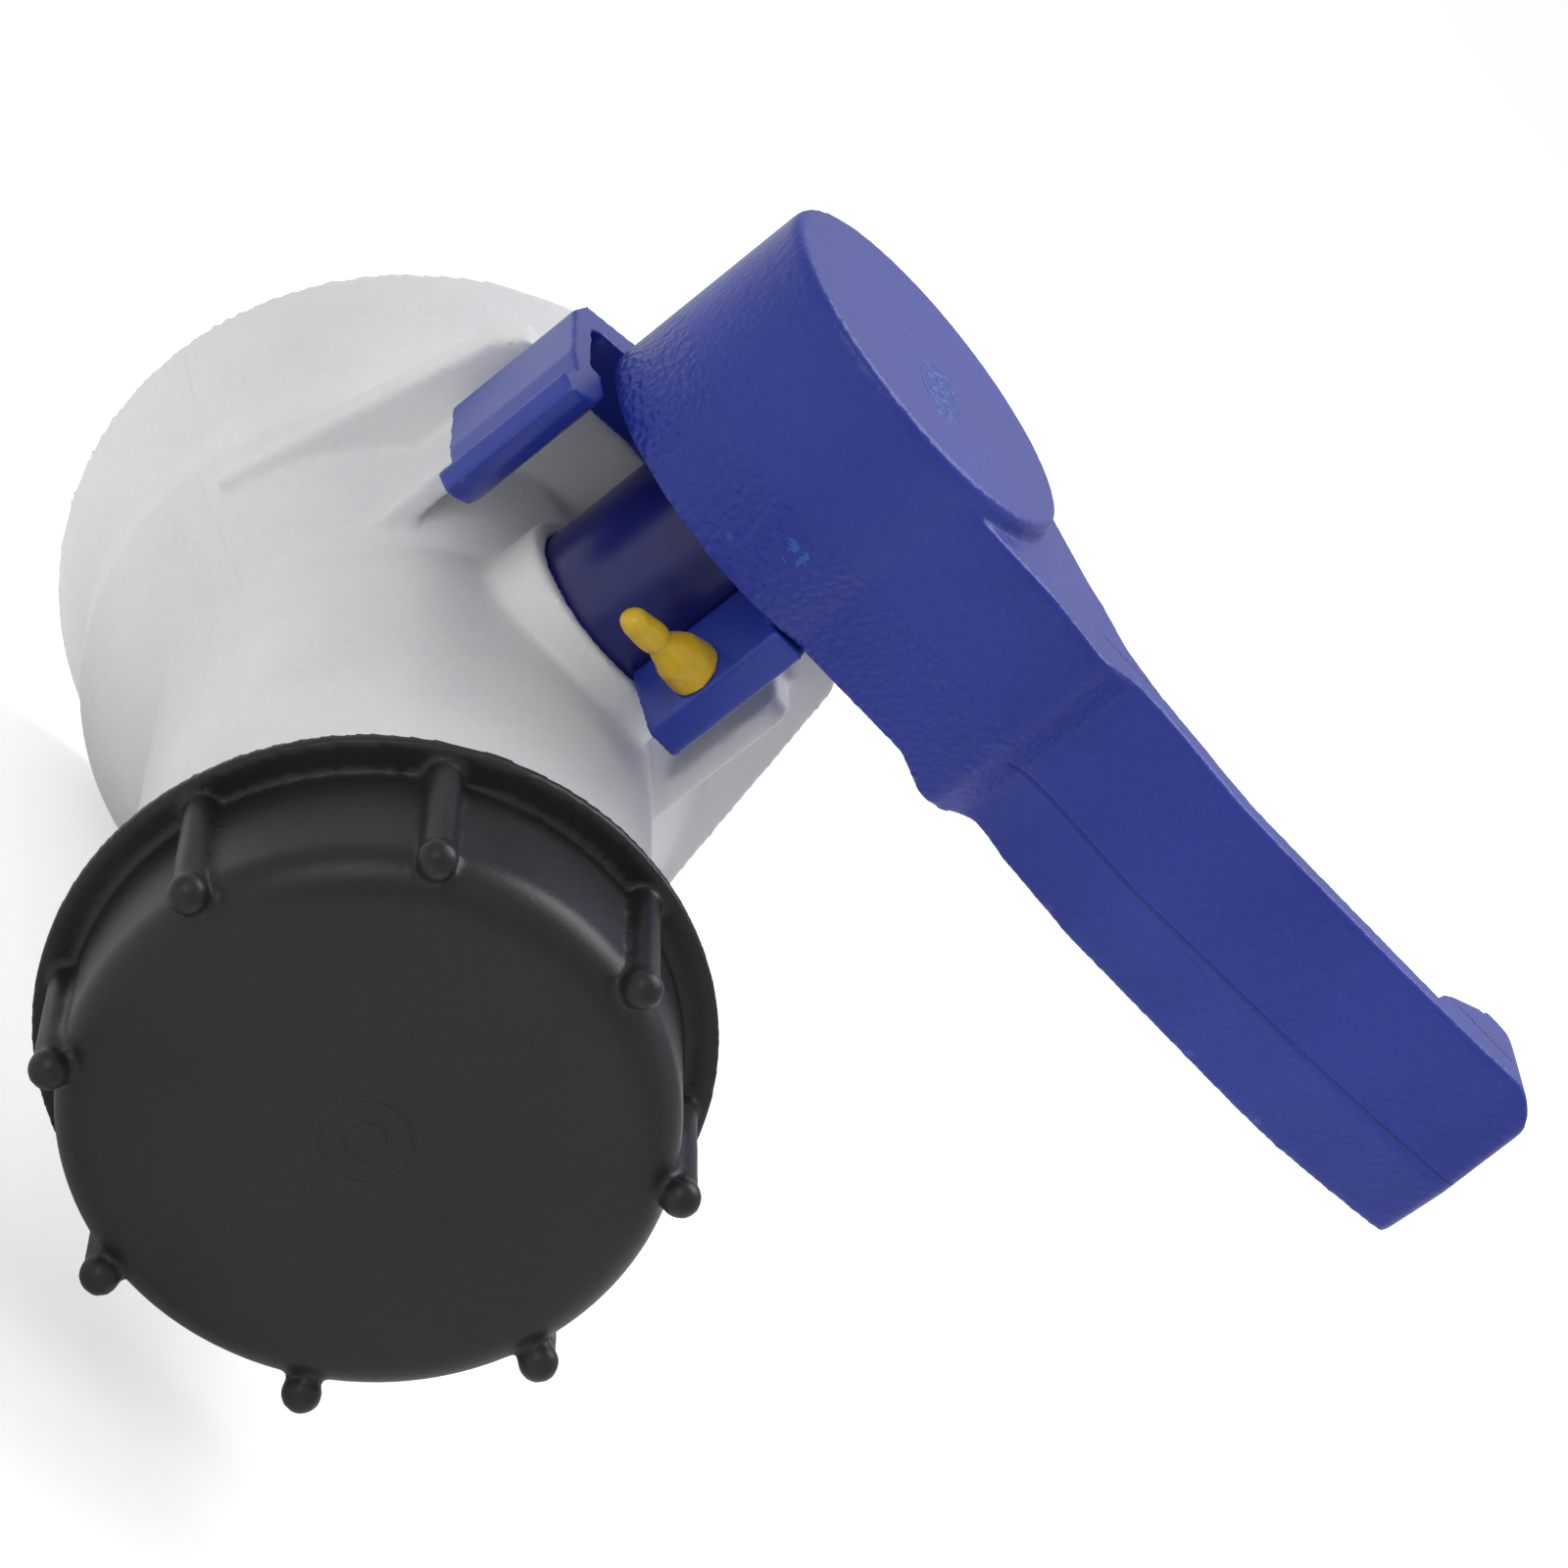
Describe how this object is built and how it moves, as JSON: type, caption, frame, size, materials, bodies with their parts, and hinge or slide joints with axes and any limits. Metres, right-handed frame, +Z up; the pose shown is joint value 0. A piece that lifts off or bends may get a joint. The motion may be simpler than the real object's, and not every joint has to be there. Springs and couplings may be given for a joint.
{
  "type": "bulk container outlet valve",
  "caption": "Butterfly outlet valve for a bulk liquid container, with a quarter-turn lever, a lock collar with a seal pin, and a ribbed screw cap.",
  "frame": {"origin": "centre of the threaded inlet mouth, in the plane of its rim", "axes": "+Y out of the inlet mouth towards the tank, +Z up the stem, +X along the closed lever"},
  "size_m": [0.1654, 0.129, 0.1283],
  "materials": {
    "natural_body": "satin, slightly translucent",
    "natural_disc": "satin",
    "seal_rubber": "matt",
    "pin_steel": "ground",
    "stem_blue": "satin",
    "bearing_white": "satin",
    "handle_blue": "fine spark texture",
    "collar_blue": "satin",
    "seal_yellow": "glossy",
    "cap_black": "satin"
  },
  "bodies": {
    "valve": {"valve_body": "natural_body", "seat_liner": "seal_rubber", "inlet_gasket": "seal_rubber", "thrust_washer": "bearing_white", "lower_bush": "bearing_white", "lower_plug": "natural_body", "stem_o_ring_lower": "seal_rubber"},
    "shutoff": {"handle": "handle_blue", "stem": "stem_blue", "butterfly_disc": "natural_disc", "disc_pin": "pin_steel", "stem_o_ring_upper": "seal_rubber"},
    "cap_carrier": {"cap_gasket": "seal_rubber"},
    "cap": {"outlet_cap": "cap_black"},
    "collar": {"lock_collar": "collar_blue"},
    "seal": {"seal_pin": "seal_yellow"}
  },
  "joints": [
    {"name": "handle_turn", "type": "hinge", "parent": "valve", "child": "shutoff", "pos_m": [0, -0.0484, 0], "axis": [0, 0, 1], "range_deg": [-90, 0]},
    {"name": "cap_lift", "type": "slide", "parent": "valve", "child": "cap_carrier", "axis": [0, -1, 0], "range_m": [0, 0.01801]},
    {"name": "cap_turn", "type": "hinge", "parent": "cap_carrier", "child": "cap", "pos_m": [0, -0.117, 0], "axis": [0, -1, 0], "range_deg": [0, 1080]},
    {"name": "collar_swing", "type": "hinge", "parent": "valve", "child": "collar", "pos_m": [0, -0.0484, 0.045], "axis": [0, 0, 1], "range_deg": [0, 30]},
    {"name": "seal_pull", "type": "slide", "parent": "collar", "child": "seal", "axis": [-0.9556, -0.2948, 0], "range_m": [0, 0.012]}
  ],
  "couplings": [
    {"joint": "cap_lift", "follows": "cap_turn", "m_per_rad": 0.00095493}
  ]
}
